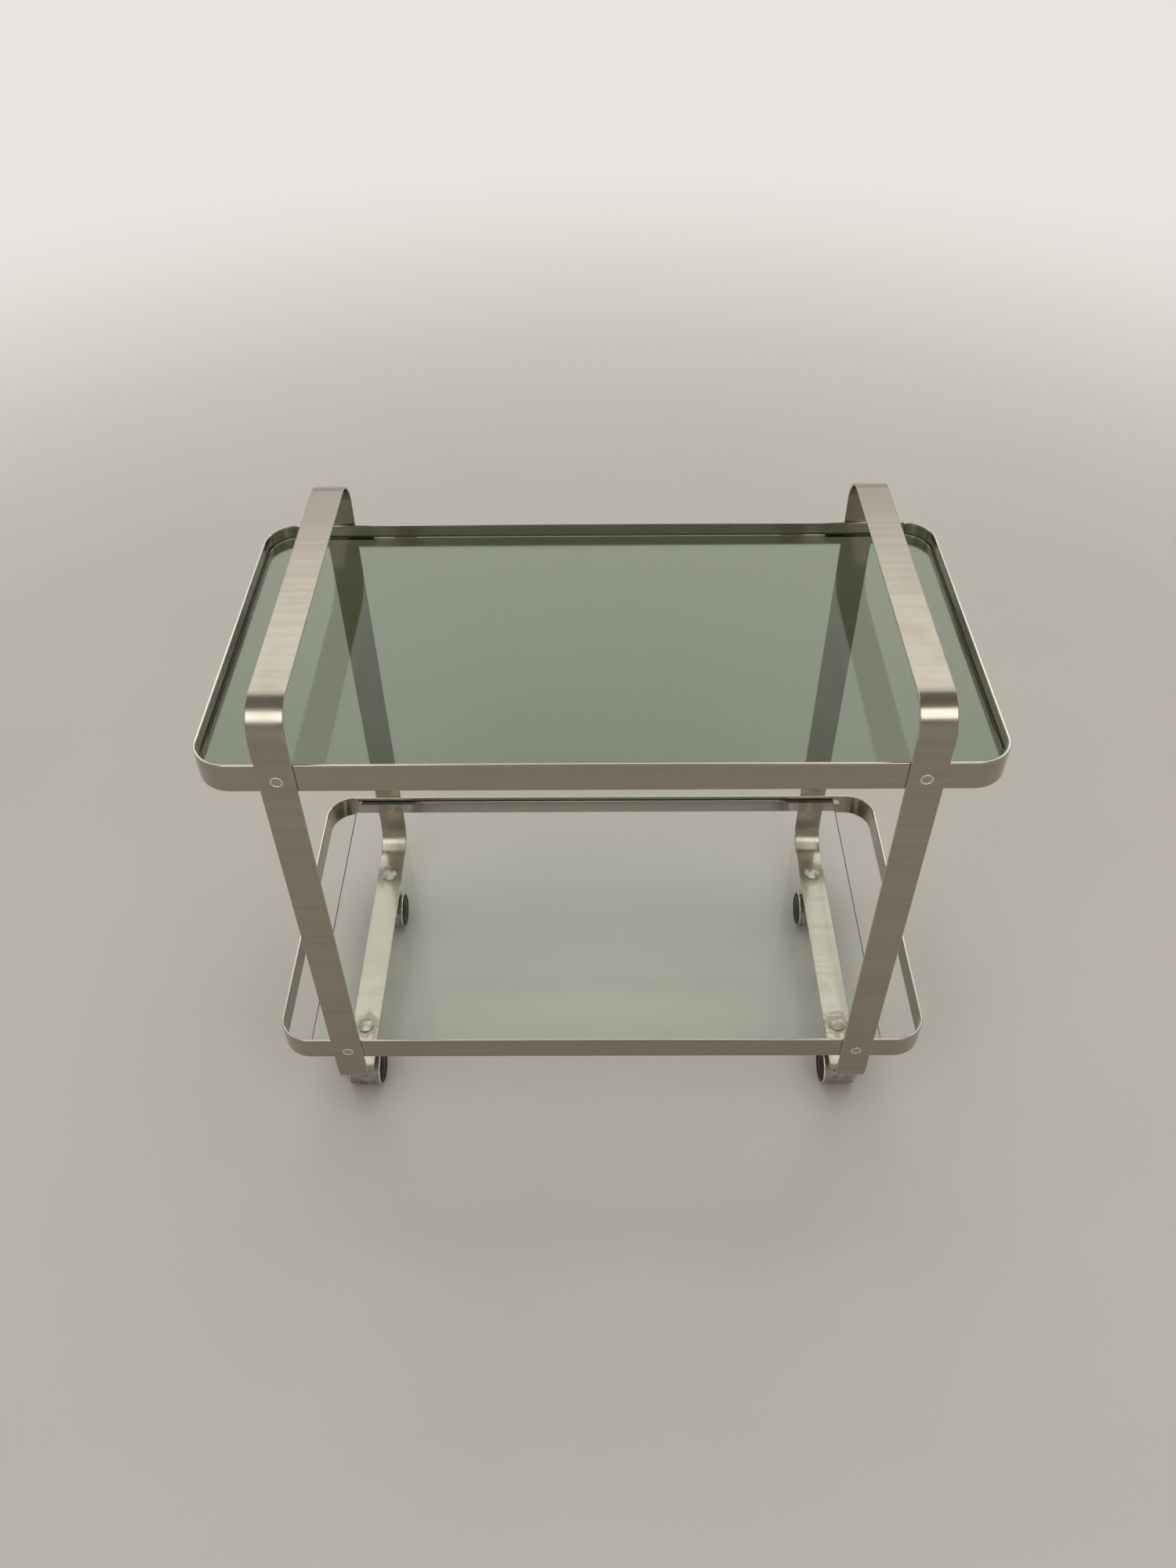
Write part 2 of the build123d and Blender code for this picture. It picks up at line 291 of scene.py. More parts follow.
def apart_from(tree, where, middle, place):
    """The way from the nearest of the places that lie at plus and minus this offset about a middle."""
    shifted = add(tree, "VectorMath", {"operation": "SUBTRACT"}, {0: where, 1: middle})
    folded = add(tree, "VectorMath", {"operation": "ABSOLUTE"}, {0: shifted.outputs[0]})
    return add(tree, "VectorMath", {"operation": "SUBTRACT"}, {0: folded.outputs[0], 1: place}).outputs[0]


def distance_from(tree, where, middle, place, seen_along):
    """Distance from these places, measured across one axis."""
    apart = apart_from(tree, where, middle, place)
    across = [0.0 if axis == seen_along else 1.0 for axis in "XYZ"]
    flat = add(tree, "VectorMath", {"operation": "MULTIPLY"}, {0: apart, 1: across})
    return add(tree, "VectorMath", {"operation": "LENGTH"}, {0: flat.outputs[0]}).outputs["Value"]


def distance_from_rivets(tree, where):
    return distance_from(tree, where, rivet_middle, rivet_offset, "Y")


# %% [markdown]
# ## Lips and tarnish, with painted highlight and painted shade
# Each rivet hole was countersunk after the grinding, and its lip is bare metal, painted brighter still as a
# painted highlight. Round the castors' domes, where a cloth doesn't reach, the bottom runs are tarnished:
# brown spots that thin out away from the dome, which also stand for the dome's painted shade and a painted
# reflection of the dome in the run. Spots could be painted by hand on a picture, but a distance and a noise
# place them on all four corners alike.

# %% Bare lips with a painted highlight, and tarnished runs with painted shade
RIVET_LIP_MM = 6.2
SOFT_EDGE_MM = 0.2
TARNISH_SHADE_SPOT_MM = 5.0
TARNISH_SHADE_REACH_MM = 32.0
STEM_HEAD_MM = 9.0
TARNISH_SHADE_FAR = -0.35
TARNISH_SHADE_NEAR = 0.25
TARNISH_SHADE_RANGE = (0.42, 0.62)
TARNISH_SHADE_STRENGTH = 0.55
RUN_TOP_MM = 70.0
RUN_FADE_MM = 20.0


def bare_lip_highlight(tree, where):
    """1 at the countersunk lips of the rivet holes, which get bare steel and a painted highlight."""
    return add(tree, "MapRange", {}, {
        "Value": distance_from_rivets(tree, where),
        "From Min": RIVET_LIP_MM * MM, "From Max": (RIVET_LIP_MM - SOFT_EDGE_MM) * MM}).outputs[0]


def tarnish_and_painted_shade(tree, where):
    """How much tarnish and painted shade the bottom runs get, from none to most round the domes."""
    near_stem = add(tree, "MapRange", {}, {
        "Value": distance_from(tree, where, stem_middle, stem_offset, "Z"),
        "From Min": TARNISH_SHADE_REACH_MM * MM, "From Max": STEM_HEAD_MM * MM,
        "To Min": TARNISH_SHADE_FAR, "To Max": TARNISH_SHADE_NEAR})
    spots = streaks(tree, where, [TARNISH_SHADE_SPOT_MM] * 3, detail=6.0)
    spotted = add(tree, "Math", {"operation": "ADD"}, {0: near_stem.outputs[0], 1: spots})
    height = add(tree, "SeparateXYZ", {}, {"Vector": where}).outputs["Z"]
    on_run = add(tree, "MapRange", {}, {
        "Value": height, "From Min": (RUN_TOP_MM + RUN_FADE_MM) * MM, "From Max": RUN_TOP_MM * MM,
        "To Max": TARNISH_SHADE_STRENGTH})
    return add(tree, "MapRange", {}, {
        "Value": spotted.outputs[0], "From Min": TARNISH_SHADE_RANGE[0], "From Max": TARNISH_SHADE_RANGE[1],
        "To Max": on_run.outputs[0]}).outputs[0]


print("tarnish reaches", TARNISH_SHADE_REACH_MM, "mm from a stem")

# %% [markdown]
# ## Lower bends
# In the photograph, reflections inside the hoops' lower bends have soft edges, as if the bends had been
# finished by hand with a coarser pad, where a belt doesn't reach. The height above the floor tells
# where: from the bottom runs up to the lower tray.

# %% Duller bends
BEND_DULLNESS = 0.13
BEND_RISE_MM = 20.0
TRAY_BOTTOM_MM = 120.0
TRAY_FADE_MM = 30.0


def bend_dullness(tree, where):
    """Extra roughness between the bottom runs and the lower tray."""
    height = add(tree, "SeparateXYZ", {}, {"Vector": where}).outputs["Z"]
    above_run = add(tree, "MapRange", {}, {
        "Value": height, "From Min": RUN_TOP_MM * MM, "From Max": (RUN_TOP_MM + BEND_RISE_MM) * MM,
        "To Max": BEND_DULLNESS})
    return add(tree, "MapRange", {}, {
        "Value": height, "From Min": (TRAY_BOTTOM_MM + TRAY_FADE_MM) * MM, "From Max": TRAY_BOTTOM_MM * MM,
        "To Max": above_run.outputs[0]}).outputs[0]


print("bends are duller from", RUN_TOP_MM, "to", TRAY_BOTTOM_MM, "mm above the floor")

# %% [markdown]
# ## The hoops, ground across
# On the hoops the lines run across the bar, so a bend shows the studio as level bands. Tarnish is brown
# and rougher than the steel, and its brown round the domes is also painted shade.

# %% Brushed steel of the hoops
HOOP_ROUGHNESS = (0.16, 0.21)
HOOP_STRETCH = 0.55
NO_TURN = 0.0
TARNISH_AND_SHADE = "#6F6958"
TARNISH_DULLNESS = 0.12

hoop_steel, tree = blank("stainless_steel_brushed_across")
where = add(tree, "TexCoord", {}, {}).outputs["Object"]
colour, rough, lines = belt_ground(tree, where, "X", "X", HOOP_ROUGHNESS)
# Rivet lips are painted bright: bare metal, and a painted highlight.
colour = add(tree, "Mix", {"data_type": "RGBA"}, {
    0: bare_lip_highlight(tree, where), 6: colour, 7: linear(BARE_STEEL_AND_HIGHLIGHT)}).outputs[2]
# Round the domes the run is painted darker and browner: tarnish, and painted shade of the dome.
stained_and_shaded = tarnish_and_painted_shade(tree, where)
colour = add(tree, "Mix", {"data_type": "RGBA"}, {0: stained_and_shaded, 6: colour, 7: linear(TARNISH_AND_SHADE)}).outputs[2]
rough = add(tree, "Math", {"operation": "MULTIPLY_ADD"}, {
    0: stained_and_shaded, 1: TARNISH_DULLNESS, 2: rough}).outputs[0]
rough = add(tree, "Math", {"operation": "ADD"}, {0: rough, 1: bend_dullness(tree, where)}).outputs[0]
brushed_metal(tree, colour, rough, lines, "X", NO_TURN, HOOP_STRETCH)
dress(hoop_steel, "hoop")

# %% [markdown]
# ## The rims, ground along
# The rims were brushed the long way before they were bent, so their lines run level all round. Their
# highlights stretch up and down, which takes a quarter turn from a tangent that runs round the upright
# axis.

# %% Brushed steel of the rims and of the strips under the glass
RIM_ROUGHNESS = (0.15, 0.20)
RIM_STRETCH = 0.6
QUARTER_TURN = 0.25

rim_steel, tree = blank("stainless_steel_brushed_along")
where = add(tree, "TexCoord", {}, {}).outputs["Object"]
colour, rough, lines = belt_ground(tree, where, "XY", "Z", RIM_ROUGHNESS)
brushed_metal(tree, colour, rough, lines, "Z", QUARTER_TURN, RIM_STRETCH)
dress(rim_steel, "rim", "rests")

# %% [markdown]
# ## Rivets ground flush
# Each rivet was ground down level with the leg, and its rim rounded over. The grinder leaves short
# lines of every direction, so noise with no direction does for its face. The rounded rim is bare metal,
# painted brighter still as a painted highlight, and with the lip of its hole it shows as a thin light ring.

# %% Ground rivet steel
RIVET_DARK = "#968F83"
RIVET_LIGHT = "#C2BBAD"
RIVET_ROUGHNESS = (0.24, 0.36)
GRIND_MARK_MM = 1.2
GRIND_DEPTH_MM = 0.1
GRIND_STRENGTH = 0.3
RIVET_RIM_MM = 4.7
RING_ROUGHNESS = 0.16

rivet_steel, tree = blank("stainless_steel_ground_flush")
where = add(tree, "TexCoord", {}, {}).outputs["Object"]
marks = streaks(tree, where, [GRIND_MARK_MM] * 3, detail=3.0)
face = add(tree, "Mix", {"data_type": "RGBA"}, {0: marks, 6: linear(RIVET_DARK), 7: linear(RIVET_LIGHT)})
ring = add(tree, "MapRange", {}, {
    "Value": distance_from_rivets(tree, where),
    "From Min": RIVET_RIM_MM * MM, "From Max": (RIVET_RIM_MM + SOFT_EDGE_MM) * MM}).outputs[0]
# The rim is painted in bright bare steel: bare metal, and a painted highlight.
colour = add(tree, "Mix", {"data_type": "RGBA"}, {0: ring, 6: face.outputs[2], 7: linear(BARE_STEEL_AND_HIGHLIGHT)})
rough = add(tree, "MapRange", {}, {
    "Value": marks, "From Min": NOISE_SPAN[0], "From Max": NOISE_SPAN[1],
    "To Min": RIVET_ROUGHNESS[0], "To Max": RIVET_ROUGHNESS[1]})
rough = add(tree, "Mix", {"data_type": "FLOAT"}, {0: ring, 2: rough.outputs[0], 3: RING_ROUGHNESS})
relief = add(tree, "Bump", {}, {
    "Height": marks, "Strength": GRIND_STRENGTH, "Distance": GRIND_DEPTH_MM * MM})
steel = add(tree, "BsdfPrincipled", {}, {
    "Base Color": colour.outputs[2],
    "Metallic": 1.0,
    "Roughness": rough.outputs[0],
    "Normal": relief.outputs[0],
})
add(tree, "OutputMaterial", {}, {"Surface": steel.outputs[0]})
dress(rivet_steel, "rivets")

# %% [markdown]
# ## Plated castor fittings
# Stems, washers, clips, axles and hoods are plated steel. Plate follows the slightly uneven metal under
# it, so the domes look a little beaten, and it stains with age. The dents are too shallow to be worth
# modelling. Blotches of two tones and a shallow relief do for both, and zinc and nickel share them.

# %% Plated steel
STAIN_MM = 9.0
STAIN_RANGE = (0.35, 0.65)
BEATEN_MM = 4.0
BEATEN_DEPTH_MM = 0.02


def plate_tones(tree, where, dark, light, rough_range):
    """Colour and roughness of plate that has stained: the lighter blotches are the smoother ones."""
    stains = streaks(tree, where, [STAIN_MM] * 3, detail=5.0)
    share = add(tree, "MapRange", {}, {
        "Value": stains, "From Min": STAIN_RANGE[0], "From Max": STAIN_RANGE[1]})
    colour = add(tree, "Mix", {"data_type": "RGBA"}, {
        0: share.outputs[0], 6: linear(dark), 7: linear(light)})
    rough = add(tree, "MapRange", {}, {
        "Value": stains, "From Min": NOISE_SPAN[0], "From Max": NOISE_SPAN[1],
        "To Min": rough_range[1], "To Max": rough_range[0]})
    return colour.outputs[2], rough.outputs[0]


def plated_steel(tree, where, colour, rough):
    """The plated metal itself, with shallow dents."""
    dents = streaks(tree, where, [BEATEN_MM] * 3, detail=1.0)
    relief = add(tree, "Bump", {}, {"Height": dents, "Strength": 1.0, "Distance": BEATEN_DEPTH_MM * MM})
    plate = add(tree, "BsdfPrincipled", {}, {
        "Base Color": colour,
        "Metallic": 1.0,
        "Roughness": rough,
        "Normal": relief.outputs[0],
    })
    add(tree, "OutputMaterial", {}, {"Surface": plate.outputs[0]})


print("plate has stains of", STAIN_MM, "mm and dents of", BEATEN_MM, "mm")

# %% [markdown]
# ## Dulled zinc
# Stems, washers, clips and axles are zinc plated. Zinc is bright at first and goes pale and matt with
# age, so both of its tones are light and its surface is fairly rough.

# %% Zinc plate of the stems
ZINC_DARK = "#B4AEA1"
ZINC_LIGHT = "#DDD8CB"
ZINC_ROUGHNESS = (0.36, 0.52)

zinc_plate, tree = blank("zinc_plate_dulled")
where = add(tree, "TexCoord", {}, {}).outputs["Object"]
colour, rough = plate_tones(tree, where, ZINC_DARK, ZINC_LIGHT, ZINC_ROUGHNESS)
plated_steel(tree, where, colour, rough)
dress(zinc_plate, "stem", "washer", "clip", "axle")

# %% [markdown]
# ## The castors' hoods
# The hoods are pressed steel with satin nickel. The guard's edge was trimmed after the pressing and is
# bare, and a thin bright line along it is a painted highlight beside the black wheel. A hood has one
# material, so a mask finds the edge: it lies at a known distance from the castor's middle plane, which is
# measured on a hood, and the same folded coordinates find all eight edges.

# %% Satin nickel of the hoods
NICKEL_DARK = "#8B857A"
NICKEL_LIGHT = "#B9B3A7"
NICKEL_ROUGHNESS = (0.22, 0.36)
EDGE_HIGHLIGHT_MM = 1.6
EDGE_HIGHLIGHT_SOFT_MM = 0.3
TRIMMED_ROUGHNESS = 0.2

hood_low, hood_high = [Vector(corner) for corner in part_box("front_left_hood")]
hood_half = (hood_high.x - hood_low.x) / 2
edge_start = hood_half - EDGE_HIGHLIGHT_MM * MM

nickel_plate, tree = blank("nickel_plate_satin")
where = add(tree, "TexCoord", {}, {}).outputs["Object"]
colour, rough = plate_tones(tree, where, NICKEL_DARK, NICKEL_LIGHT, NICKEL_ROUGHNESS)
apart = apart_from(tree, where, stem_middle, stem_offset)
apart = add(tree, "VectorMath", {"operation": "ABSOLUTE"}, {0: apart})
off_middle = add(tree, "SeparateXYZ", {}, {"Vector": apart.outputs[0]}).outputs["X"]
# The guard's edge is painted in bright bare steel: bare metal, and a painted highlight.
bare_edge_highlight = add(tree, "MapRange", {}, {
    "Value": off_middle, "From Min": edge_start, "From Max": edge_start + EDGE_HIGHLIGHT_SOFT_MM * MM}).outputs[0]
colour = add(tree, "Mix", {"data_type": "RGBA"}, {0: bare_edge_highlight, 6: colour, 7: linear(BARE_STEEL_AND_HIGHLIGHT)}).outputs[2]
rough = add(tree, "Mix", {"data_type": "FLOAT"}, {0: bare_edge_highlight, 2: rough, 3: TRIMMED_ROUGHNESS}).outputs[0]
plated_steel(tree, where, colour, rough)
dress(nickel_plate, "hood")
print("hood edges from", round(edge_start / MM, 1), "to", round(hood_half / MM, 1), "mm off its middle")

# %% [markdown]
# ## Black nylon wheels
# The wheels are moulded nylon, black all through. Moulding leaves a fine satin grain, drawn coarser
# here than it is, so that it shows. Rolling leaves a little grey dust, which is duller than the nylon.
# One even black would hide the wheels' form, so the dust decides both colour and gloss.

# %% Moulded nylon
NYLON_BLACK = "#0B0B0A"
NYLON_DUSTY = "#282624"
NYLON_IOR = 1.53
NYLON_ROUGHNESS = (0.4, 0.65)
MOULD_GRAIN_MM = 0.8
MOULD_DEPTH_MM = 0.05
MOULD_STRENGTH = 0.5
DUST_MM = 7.0
DUST_RANGE = (0.45, 0.8)

nylon, tree = blank("nylon_moulded_black")
where = add(tree, "TexCoord", {}, {}).outputs["Object"]
grain = streaks(tree, where, [MOULD_GRAIN_MM] * 3, detail=2.0)
dust = streaks(tree, where, [DUST_MM] * 3, detail=5.0)
dusty = add(tree, "MapRange", {}, {"Value": dust, "From Min": DUST_RANGE[0], "From Max": DUST_RANGE[1]})
colour = add(tree, "Mix", {"data_type": "RGBA"}, {
    0: dusty.outputs[0], 6: linear(NYLON_BLACK), 7: linear(NYLON_DUSTY)})
rough = add(tree, "MapRange", {}, {
    "Value": dust, "To Min": NYLON_ROUGHNESS[0], "To Max": NYLON_ROUGHNESS[1]})
relief = add(tree, "Bump", {}, {
    "Height": grain, "Strength": MOULD_STRENGTH, "Distance": MOULD_DEPTH_MM * MM})
moulded = add(tree, "BsdfPrincipled", {}, {
    "Base Color": colour.outputs[2],
    "Roughness": rough.outputs[0],
    "IOR": NYLON_IOR,
    "Normal": relief.outputs[0],
})
add(tree, "OutputMaterial", {}, {"Surface": moulded.outputs[0]})
dress(nylon, "wheel")

# %% [markdown]
# ## Edges of glass
# A sheet's narrow edges look darker and greener than its faces, because the eye looks through much more
# glass there. Tinted glass could do that by itself, but only after many bounces of light, so the edges
# have a colour of their own. Between face and edge lies the ground arris, which is pale and frosted.
# The way the surface faces tells all three apart. Light that is already inside the sheet passes the
# edges as if they were clear.

# %% Tint and clearness of faces, arrises and edges
ARRIS_TINT = "#C3CFC6"
EDGE_CLEARNESS = 0.2
EDGE_START = (0.5, 0.4)
ARRIS_START = (0.9, 0.8)


def sheet_tints(tree, tint, edge_tint):
    """Colour of a sheet of glass, and how much of the light it lets through."""
    level = faces_along(tree, "Z")
    is_edge = add(tree, "MapRange", {}, {
        "Value": level, "From Min": EDGE_START[0], "From Max": EDGE_START[1]})
    not_face = add(tree, "MapRange", {}, {
        "Value": level, "From Min": ARRIS_START[0], "From Max": ARRIS_START[1]}).outputs[0]
    narrow = add(tree, "Mix", {"data_type": "RGBA"}, {
        0: is_edge.outputs[0], 6: linear(ARRIS_TINT), 7: linear(edge_tint)})
    colour = add(tree, "Mix", {"data_type": "RGBA"}, {0: not_face, 6: linear(tint), 7: narrow.outputs[2]})
    inside = add(tree, "NewGeometry", {}, {}).outputs["Backfacing"]
    edge_clear = add(tree, "Math", {"operation": "MAXIMUM"}, {0: inside, 1: EDGE_CLEARNESS})
    see_through = add(tree, "MapRange", {}, {
        "Value": not_face, "To Min": 1.0, "To Max": edge_clear.outputs[0]})
    return colour.outputs[2], see_through.outputs[0]


print("edges let", EDGE_CLEARNESS, "of the light in")

# %% [markdown]
# ## Glass
# Both sheets are 6 mm float glass. The top one is coloured in the melt, so about two fifths of the
# light comes through it, grey and green. A thin see-through surface would be quicker, but only a solid
# sheet with the glass's own refraction shows its thickness, and its face mirrors the studio. A film of
# polish and dust takes the edge off that mirror: it is the grey tint of the reflections. A wiping cloth
# leaves faint smears. Lamps can't shine through refraction without a very long render, so shadows see
# plain tinted transparency in its place.

# %% Smoked and clear float glass
GLASS_IOR = 1.52
GLASS_FILM = "#5A5A5A"
SMOKED_TINT = "#AEBCAA"
SMOKED_EDGE = "#46544A"
CLEAR_TINT = "#F8FBF9"
CLEAR_EDGE = "#6E8F80"
SMEAR_MM = 90.0
SMEAR_LENGTH_MM = 270.0
SMEAR_RANGE = (0.5, 0.8)
SMEAR_ROUGHNESS = 0.05


def float_glass(name, tint, edge_tint):
    """A polished sheet with one tint on its faces and another at its narrow edges."""
    material, tree = blank(name)
    where = add(tree, "TexCoord", {}, {}).outputs["Object"]
    smears = streaks(tree, where, (SMEAR_MM, SMEAR_LENGTH_MM, SMEAR_MM), detail=6.0)
    rough = add(tree, "MapRange", {}, {
        "Value": smears, "From Min": SMEAR_RANGE[0], "From Max": SMEAR_RANGE[1], "To Max": SMEAR_ROUGHNESS})
    colour, see_through = sheet_tints(tree, tint, edge_tint)
    glass = add(tree, "BsdfPrincipled", {}, {
        "Base Color": colour,
        "Roughness": rough.outputs[0],
        "IOR": GLASS_IOR,
        "Specular Tint": linear(GLASS_FILM),
        "Transmission Weight": see_through,
    })
    clear = add(tree, "BsdfTransparent", {}, {"Color": linear(tint)})
    ray = add(tree, "LightPath", {}, {})
    seen = add(tree, "MixShader", {}, {
        0: ray.outputs["Is Shadow Ray"], 1: glass.outputs[0], 2: clear.outputs[0]})
    add(tree, "OutputMaterial", {}, {"Surface": seen.outputs[0]})
    return material


dress(float_glass("float_glass_smoked", SMOKED_TINT, SMOKED_EDGE), "top_glass")
dress(float_glass("float_glass_clear", CLEAR_TINT, CLEAR_EDGE), "lower_glass")

# %% [markdown]
# ## Backdrop
# A studio has a pale sheet behind the object. A real sheet would show its back and its ends in views
# from other sides, so the backdrop here is only a brightness that depends on direction. It is paler
# behind the cart than in front, so that the steel has something lighter and something darker to mirror.

# %% Brightness of the backdrop
STUDIO_WHITE = "#FFFCF6"
BACKDROP_FRONT = 0.5
BACKDROP_REAR = 0.8
BACKDROP_TURN = (-0.8, 0.4)


def backdrop_level(tree, towards):
    """How bright the backdrop is in this direction from the cart."""
    rearward = add(tree, "SeparateXYZ", {}, {"Vector": towards}).outputs["Y"]
    return add(tree, "MapRange", {"interpolation_type": "SMOOTHSTEP"}, {
        "Value": rearward, "From Min": BACKDROP_TURN[0], "From Max": BACKDROP_TURN[1],
        "To Min": BACKDROP_FRONT, "To Max": BACKDROP_REAR}).outputs[0]


print("backdrop from", BACKDROP_FRONT, "in front to", BACKDROP_REAR, "behind the cart")

# %% [markdown]
# ## Floor
# A floor takes the cart's shadow and is mirrored in its legs. One large square is enough, because it
# fades out long before its edges.

# %% Floor plane
FLOOR_HALF_WIDTH = 25.0

floor_mesh = bpy.data.meshes.new("floor")
corners = [(x, y, 0) for x, y in ((-1, -1), (1, -1), (1, 1), (-1, 1))]
floor_mesh.from_pydata([Vector(c) * FLOOR_HALF_WIDTH for c in corners], [], [(0, 1, 2, 3)])
floor = bpy.data.objects.new("floor", floor_mesh)
bpy.context.scene.collection.objects.link(floor)
print("floor", round(2 * FLOOR_HALF_WIDTH), "m wide")

# %% [markdown]
# ## Floor paint
# The floor is plain and pale. Its colour wavers by a shade, so that it doesn't look like paper. Further
# out it turns into the backdrop, so no view shows a hard horizon. Only the eye, mirrors and glass see
# that part of it, and it puts no light on the cart.

# %% Floor paint that fades into the backdrop
FLOOR_DARK = "#BDB8B0"
FLOOR_LIGHT = "#C3BEB6"
FLOOR_ROUGHNESS = 0.9
FLOOR_SPECULAR = 0.2
FLOOR_WAVER_MM = 400.0
FADE_START = 1.0
FADE_END = 3.4

floor_paint, tree = blank("floor_matte_paint")
where = add(tree, "TexCoord", {}, {}).outputs["Object"]
waver = streaks(tree, where, [FLOOR_WAVER_MM] * 3, detail=3.0)
colour = add(tree, "Mix", {"data_type": "RGBA"}, {0: waver, 6: linear(FLOOR_DARK), 7: linear(FLOOR_LIGHT)})
paint = add(tree, "BsdfPrincipled", {}, {
    "Base Color": colour.outputs[2], "Roughness": FLOOR_ROUGHNESS, "Specular IOR Level": FLOOR_SPECULAR})
towards = add(tree, "VectorMath", {"operation": "NORMALIZE"}, {0: where}).outputs[0]
backdrop = add(tree, "Emission", {}, {
    "Color": linear(STUDIO_WHITE), "Strength": backdrop_level(tree, towards)})
distance = add(tree, "VectorMath", {"operation": "LENGTH"}, {0: where})
far = add(tree, "MapRange", {"interpolation_type": "SMOOTHSTEP"}, {
    "Value": distance.outputs["Value"], "From Min": FADE_START, "From Max": FADE_END})
ray = add(tree, "LightPath", {}, {})
seen = add(tree, "Math", {"operation": "ADD"}, {
    0: ray.outputs["Is Camera Ray"], 1: ray.outputs["Is Glossy Ray"]})
seen = add(tree, "Math", {"operation": "ADD", "use_clamp": True}, {
    0: seen.outputs[0], 1: ray.outputs["Is Transmission Ray"]})
share = add(tree, "Math", {"operation": "MULTIPLY"}, {0: far.outputs[0], 1: seen.outputs[0]})
faded = add(tree, "MixShader", {}, {0: share.outputs[0], 1: paint.outputs[0], 2: backdrop.outputs[0]})
add(tree, "OutputMaterial", {}, {"Surface": faded.outputs[0]})
floor.data.materials.append(floor_paint)
print(floor_paint.name, "fades out from", FADE_START, "to", FADE_END, "m")

# %% [markdown]
# ## Studio light all round
# Steel shows the studio more than itself, so the studio is part of the finish. A picture of a real
# studio could light the cart, but a few soft steps of one colour need no file and are easy to move.
# They are as pale as the backdrop at eye level, and dimmer overhead and high in front. Handles and
# bends mirror those dim parts as soft dark bands.

# %% Studio light
HIGH_LEVEL = 0.55
DIM_FRONT = 0.28
DIM_TOP = 0.27
FRONT_TURN = (-0.5, -0.1)
HIGH_TURN = (0.15, 0.45)
TOP_TURN = (0.5, 0.75)

world = bpy.data.worlds.new("studio")
world.use_nodes = True
bpy.context.scene.world = world
tree = world.node_tree
tree.nodes.clear()
direction = add(tree, "TexCoord", {}, {}).outputs["Generated"]
towards = add(tree, "SeparateXYZ", {}, {"Vector": direction})
high = add(tree, "MapRange", {"interpolation_type": "SMOOTHSTEP"}, {
    "Value": towards.outputs["Y"], "From Min": FRONT_TURN[0], "From Max": FRONT_TURN[1],
    "To Min": DIM_FRONT, "To Max": HIGH_LEVEL})
raised = add(tree, "MapRange", {"interpolation_type": "SMOOTHSTEP"}, {
    "Value": towards.outputs["Z"], "From Min": HIGH_TURN[0], "From Max": HIGH_TURN[1]})
overhead = add(tree, "MapRange", {"interpolation_type": "SMOOTHSTEP"}, {
    "Value": towards.outputs["Z"], "From Min": TOP_TURN[0], "From Max": TOP_TURN[1]})
around = add(tree, "Mix", {"data_type": "FLOAT"}, {
    0: raised.outputs[0], 2: backdrop_level(tree, direction), 3: high.outputs[0]})
studio = add(tree, "Mix", {"data_type": "FLOAT"}, {
    0: overhead.outputs[0], 2: around.outputs[0], 3: DIM_TOP})
glow = add(tree, "Background", {}, {"Color": linear(STUDIO_WHITE), "Strength": studio.outputs[0]})
add(tree, "OutputWorld", {}, {"Surface": glow.outputs[0]})
print("studio light falls to", DIM_FRONT, "high in front and", DIM_TOP, "overhead")

# %% [markdown]
# ## Softboxes
# A softbox is a rectangle of cloth with a tube behind it. An even one mirrors as a bar with firm edges,
# which is right on the tight front bends. A wide one fills flat handles and glass, and looks better
# dimmer towards its edges, away from the tube. No view shows a softbox by itself, but metal and glass
# mirror it, unless it is told not to.

# %% A softbox
TUBE_HEIGHT = 0.4
TUBE_REACH = 0.5


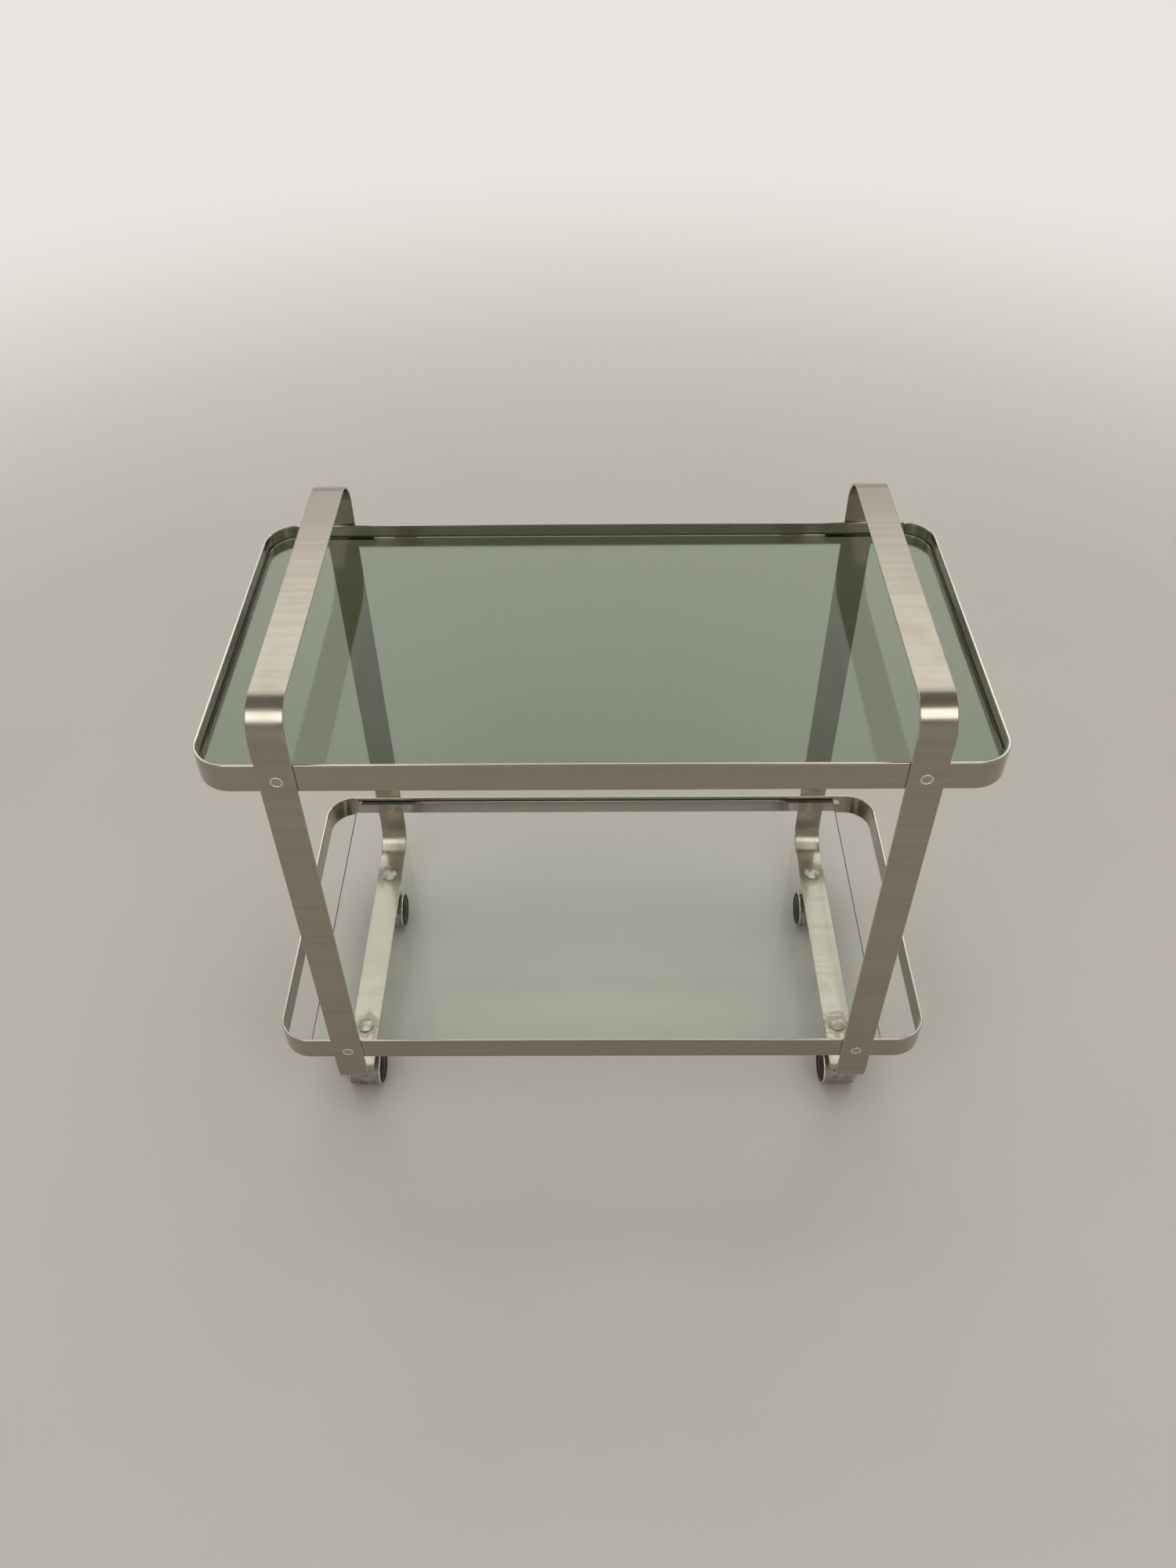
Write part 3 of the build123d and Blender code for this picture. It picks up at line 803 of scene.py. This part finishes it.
def softbox(name, size, watts, place, aim, edge_level=1.0, mirrored=True):
    """A rectangle of light at a place, aimed at a point, with this share of its brightness at its edges."""
    light = bpy.data.lights.new(name, "AREA")
    light.shape = "RECTANGLE"
    light.size, light.size_y = size
    light.energy = watts
    light.use_nodes = True
    tree = light.node_tree
    tree.nodes.clear()
    spot = add(tree, "NewGeometry", {}, {}).outputs["Parametric"]
    height = add(tree, "SeparateXYZ", {}, {"Vector": spot}).outputs["Y"]
    off_tube = add(tree, "Math", {"operation": "SUBTRACT"}, {0: height, 1: TUBE_HEIGHT})
    off_tube = add(tree, "Math", {"operation": "ABSOLUTE"}, {0: off_tube.outputs[0]})
    level = add(tree, "MapRange", {"interpolation_type": "SMOOTHSTEP"}, {
        "Value": off_tube.outputs[0], "From Max": TUBE_REACH, "To Min": 1.0, "To Max": edge_level})
    glow = add(tree, "Emission", {}, {"Strength": level.outputs[0]})
    add(tree, "OutputLight", {}, {"Surface": glow.outputs[0]})
    box = bpy.data.objects.new(name, light)
    box.location = place
    box.rotation_euler = (Vector(aim) - Vector(place)).to_track_quat("-Z", "Y").to_euler()
    box.visible_camera = False
    box.visible_glossy = mirrored
    bpy.context.scene.collection.objects.link(box)
    print(name, "gives", round(watts / (size[0] * size[1] * pi), 2), "W per square metre and steradian")


# %% [markdown]
# ## Where the softboxes stand
# Two hang above the front, left and right, and each front bend mirrors one of them as a white bar
# between two darker ones. A wide one stands far behind the cart, where the handles' tops and the glass
# look. The last one, overhead, isn't mirrored and only opens up the shadows.

# %% Softboxes in their places
FRONT_BOX = (0.9, 1.1)
FRONT_WATTS = 9.0
FRONT_PLACE = Vector((0.95, -1.50, 2.30))
FRONT_AIM = Vector((0.3, 0, 0.5))
REAR_BOX = (13.0, 4.4)
REAR_WATTS = 280.0
REAR_PLACE = (0, 6.35, 7.05)
REAR_AIM = (0, 0, 0.4)
REAR_EDGE_LEVEL = 0.6
TOP_BOX = (3.0, 3.0)
TOP_WATTS = 38.0
TOP_PLACE = (0, 0.4, 3.0)
TOP_AIM = (0, 0.4, 0)

to_left = Vector((-1, 1, 1))
softbox("front_left_softbox", FRONT_BOX, FRONT_WATTS, FRONT_PLACE * to_left, FRONT_AIM * to_left)
softbox("front_right_softbox", FRONT_BOX, FRONT_WATTS, FRONT_PLACE, FRONT_AIM)
softbox("rear_softbox", REAR_BOX, REAR_WATTS, REAR_PLACE, REAR_AIM, edge_level=REAR_EDGE_LEVEL)
softbox("top_wash", TOP_BOX, TOP_WATTS, TOP_PLACE, TOP_AIM, mirrored=False)

# %% [markdown]
# ## Colour management
# The Standard view transform shows a colour as it was written.

bpy.context.scene.view_settings.view_transform = "Standard"
